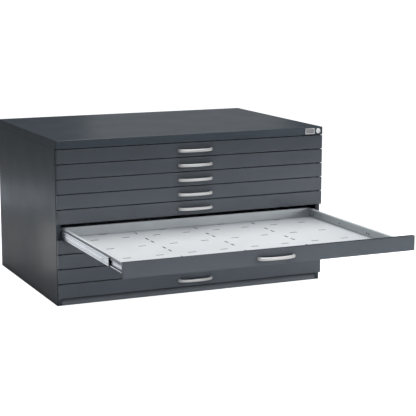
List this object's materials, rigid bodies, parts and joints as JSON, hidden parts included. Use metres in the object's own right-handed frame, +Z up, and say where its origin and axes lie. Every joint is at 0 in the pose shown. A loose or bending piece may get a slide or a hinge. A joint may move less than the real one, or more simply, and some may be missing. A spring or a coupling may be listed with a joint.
{
  "type": "flat file cabinet",
  "caption": "Low, wide steel plan chest with full-width shallow drawers on telescopic slides, bow handles, slotted trays, a plinth and a lock; one drawer is drawn out.",
  "frame": {"origin": "middle of the cabinet's footprint, on the floor, under the base panel's stiffening channel", "axes": "+Z up, drawers pull out along -Y, +X to the right as seen from the front"},
  "size_m": [1.35, 1.834, 0.76],
  "materials": {
    "painted_casing": "anthracite powder coat, fine texture, satin",
    "painted_fronts": "anthracite powder coat, fine texture, satin",
    "tray_coating": "light grey powder coat, satin",
    "zinc_slides": "bright zinc plate",
    "handle_silver": "satin silver",
    "lock_metal": "polished nickel",
    "lock_bar_steel": "zinc plate",
    "badge_metal": "satin, blank"
  },
  "bodies": {
    "cabinet": {"left_side": "painted_casing", "right_side": "painted_casing", "back_panel": "painted_casing", "top_cover": "painted_casing", "base_panel": "painted_casing", "cabinet_rails": "zinc_slides", "lock_housing": "lock_metal", "badge_plate": "badge_metal"},
    "lock_plug": {"lock_plug": "lock_metal"},
    "lock_bar": {"lock_bar": "lock_bar_steel"},
    "drawer_1": {"drawer_1_tray": "tray_coating", "drawer_1_front": "painted_fronts", "drawer_1_handle": "handle_silver", "drawer_1_rails": "zinc_slides"},
    "drawer_1_middle_slides": {"drawer_1_middle_rails": "zinc_slides"},
    "drawer_2": {"drawer_2_tray": "tray_coating", "drawer_2_front": "painted_fronts", "drawer_2_handle": "handle_silver", "drawer_2_rails": "zinc_slides"},
    "drawer_2_middle_slides": {"drawer_2_middle_rails": "zinc_slides"},
    "drawer_3": {"drawer_3_tray": "tray_coating", "drawer_3_front": "painted_fronts", "drawer_3_handle": "handle_silver", "drawer_3_rails": "zinc_slides"},
    "drawer_3_middle_slides": {"drawer_3_middle_rails": "zinc_slides"},
    "drawer_4": {"drawer_4_tray": "tray_coating", "drawer_4_front": "painted_fronts", "drawer_4_handle": "handle_silver", "drawer_4_rails": "zinc_slides"},
    "drawer_4_middle_slides": {"drawer_4_middle_rails": "zinc_slides"},
    "drawer_5": {"drawer_5_tray": "tray_coating", "drawer_5_front": "painted_fronts", "drawer_5_handle": "handle_silver", "drawer_5_rails": "zinc_slides"},
    "drawer_5_middle_slides": {"drawer_5_middle_rails": "zinc_slides"},
    "drawer_6": {"drawer_6_tray": "tray_coating", "drawer_6_front": "painted_fronts", "drawer_6_handle": "handle_silver", "drawer_6_rails": "zinc_slides"},
    "drawer_6_middle_slides": {"drawer_6_middle_rails": "zinc_slides"},
    "drawer_7": {"drawer_7_tray": "tray_coating", "drawer_7_front": "painted_fronts", "drawer_7_handle": "handle_silver", "drawer_7_rails": "zinc_slides"},
    "drawer_7_middle_slides": {"drawer_7_middle_rails": "zinc_slides"},
    "drawer_8": {"drawer_8_tray": "tray_coating", "drawer_8_front": "painted_fronts", "drawer_8_handle": "handle_silver", "drawer_8_rails": "zinc_slides"},
    "drawer_8_middle_slides": {"drawer_8_middle_rails": "zinc_slides"},
    "drawer_9": {"drawer_9_tray": "tray_coating", "drawer_9_front": "painted_fronts", "drawer_9_handle": "handle_silver", "drawer_9_rails": "zinc_slides"},
    "drawer_9_middle_slides": {"drawer_9_middle_rails": "zinc_slides"},
    "drawer_10": {"drawer_10_tray": "tray_coating", "drawer_10_front": "painted_fronts", "drawer_10_handle": "handle_silver", "drawer_10_rails": "zinc_slides"},
    "drawer_10_middle_slides": {"drawer_10_middle_rails": "zinc_slides"}
  },
  "joints": [
    {"name": "lock_turn", "type": "hinge", "parent": "cabinet", "child": "lock_plug", "pos_m": [0.651, -0.48, 0.74125], "axis": [0, -1, 0], "range_deg": [0, 90]},
    {"name": "lock_bar_lift", "type": "slide", "parent": "cabinet", "child": "lock_bar", "axis": [0, 0, 1], "range_m": [0, 0.0198]},
    {"name": "drawer_1_slide", "type": "slide", "parent": "cabinet", "child": "drawer_1", "axis": [0, -1, 0], "range_m": [0, 0.84]},
    {"name": "drawer_1_middle", "type": "slide", "parent": "cabinet", "child": "drawer_1_middle_slides", "axis": [0, -1, 0], "range_m": [0, 0.63]},
    {"name": "drawer_2_slide", "type": "slide", "parent": "cabinet", "child": "drawer_2", "axis": [0, -1, 0], "range_m": [0, 0.84]},
    {"name": "drawer_2_middle", "type": "slide", "parent": "cabinet", "child": "drawer_2_middle_slides", "axis": [0, -1, 0], "range_m": [0, 0.63]},
    {"name": "drawer_3_slide", "type": "slide", "parent": "cabinet", "child": "drawer_3", "axis": [0, -1, 0], "range_m": [0, 0.84]},
    {"name": "drawer_3_middle", "type": "slide", "parent": "cabinet", "child": "drawer_3_middle_slides", "axis": [0, -1, 0], "range_m": [0, 0.63]},
    {"name": "drawer_4_slide", "type": "slide", "parent": "cabinet", "child": "drawer_4", "axis": [0, -1, 0], "range_m": [0, 0.84]},
    {"name": "drawer_4_middle", "type": "slide", "parent": "cabinet", "child": "drawer_4_middle_slides", "axis": [0, -1, 0], "range_m": [0, 0.63]},
    {"name": "drawer_5_slide", "type": "slide", "parent": "cabinet", "child": "drawer_5", "axis": [0, -1, 0], "range_m": [0, 0.84]},
    {"name": "drawer_5_middle", "type": "slide", "parent": "cabinet", "child": "drawer_5_middle_slides", "axis": [0, -1, 0], "range_m": [0, 0.63]},
    {"name": "drawer_6_slide", "type": "slide", "parent": "cabinet", "child": "drawer_6", "axis": [0, -1, 0], "range_m": [-0.84, 0]},
    {"name": "drawer_6_middle", "type": "slide", "parent": "cabinet", "child": "drawer_6_middle_slides", "axis": [0, -1, 0], "range_m": [-0.63, 0]},
    {"name": "drawer_7_slide", "type": "slide", "parent": "cabinet", "child": "drawer_7", "axis": [0, -1, 0], "range_m": [0, 0.84]},
    {"name": "drawer_7_middle", "type": "slide", "parent": "cabinet", "child": "drawer_7_middle_slides", "axis": [0, -1, 0], "range_m": [0, 0.63]},
    {"name": "drawer_8_slide", "type": "slide", "parent": "cabinet", "child": "drawer_8", "axis": [0, -1, 0], "range_m": [0, 0.84]},
    {"name": "drawer_8_middle", "type": "slide", "parent": "cabinet", "child": "drawer_8_middle_slides", "axis": [0, -1, 0], "range_m": [0, 0.63]},
    {"name": "drawer_9_slide", "type": "slide", "parent": "cabinet", "child": "drawer_9", "axis": [0, -1, 0], "range_m": [0, 0.84]},
    {"name": "drawer_9_middle", "type": "slide", "parent": "cabinet", "child": "drawer_9_middle_slides", "axis": [0, -1, 0], "range_m": [0, 0.63]},
    {"name": "drawer_10_slide", "type": "slide", "parent": "cabinet", "child": "drawer_10", "axis": [0, -1, 0], "range_m": [0, 0.84]},
    {"name": "drawer_10_middle", "type": "slide", "parent": "cabinet", "child": "drawer_10_middle_slides", "axis": [0, -1, 0], "range_m": [0, 0.63]}
  ],
  "couplings": [
    {"joint": "lock_turn", "follows": "lock_bar_lift", "rad_per_m": 79.33},
    {"joint": "drawer_1_middle", "follows": "drawer_1_slide", "ratio": 0.75},
    {"joint": "drawer_2_middle", "follows": "drawer_2_slide", "ratio": 0.75},
    {"joint": "drawer_3_middle", "follows": "drawer_3_slide", "ratio": 0.75},
    {"joint": "drawer_4_middle", "follows": "drawer_4_slide", "ratio": 0.75},
    {"joint": "drawer_5_middle", "follows": "drawer_5_slide", "ratio": 0.75},
    {"joint": "drawer_6_middle", "follows": "drawer_6_slide", "ratio": 0.75},
    {"joint": "drawer_7_middle", "follows": "drawer_7_slide", "ratio": 0.75},
    {"joint": "drawer_8_middle", "follows": "drawer_8_slide", "ratio": 0.75},
    {"joint": "drawer_9_middle", "follows": "drawer_9_slide", "ratio": 0.75},
    {"joint": "drawer_10_middle", "follows": "drawer_10_slide", "ratio": 0.75}
  ]
}
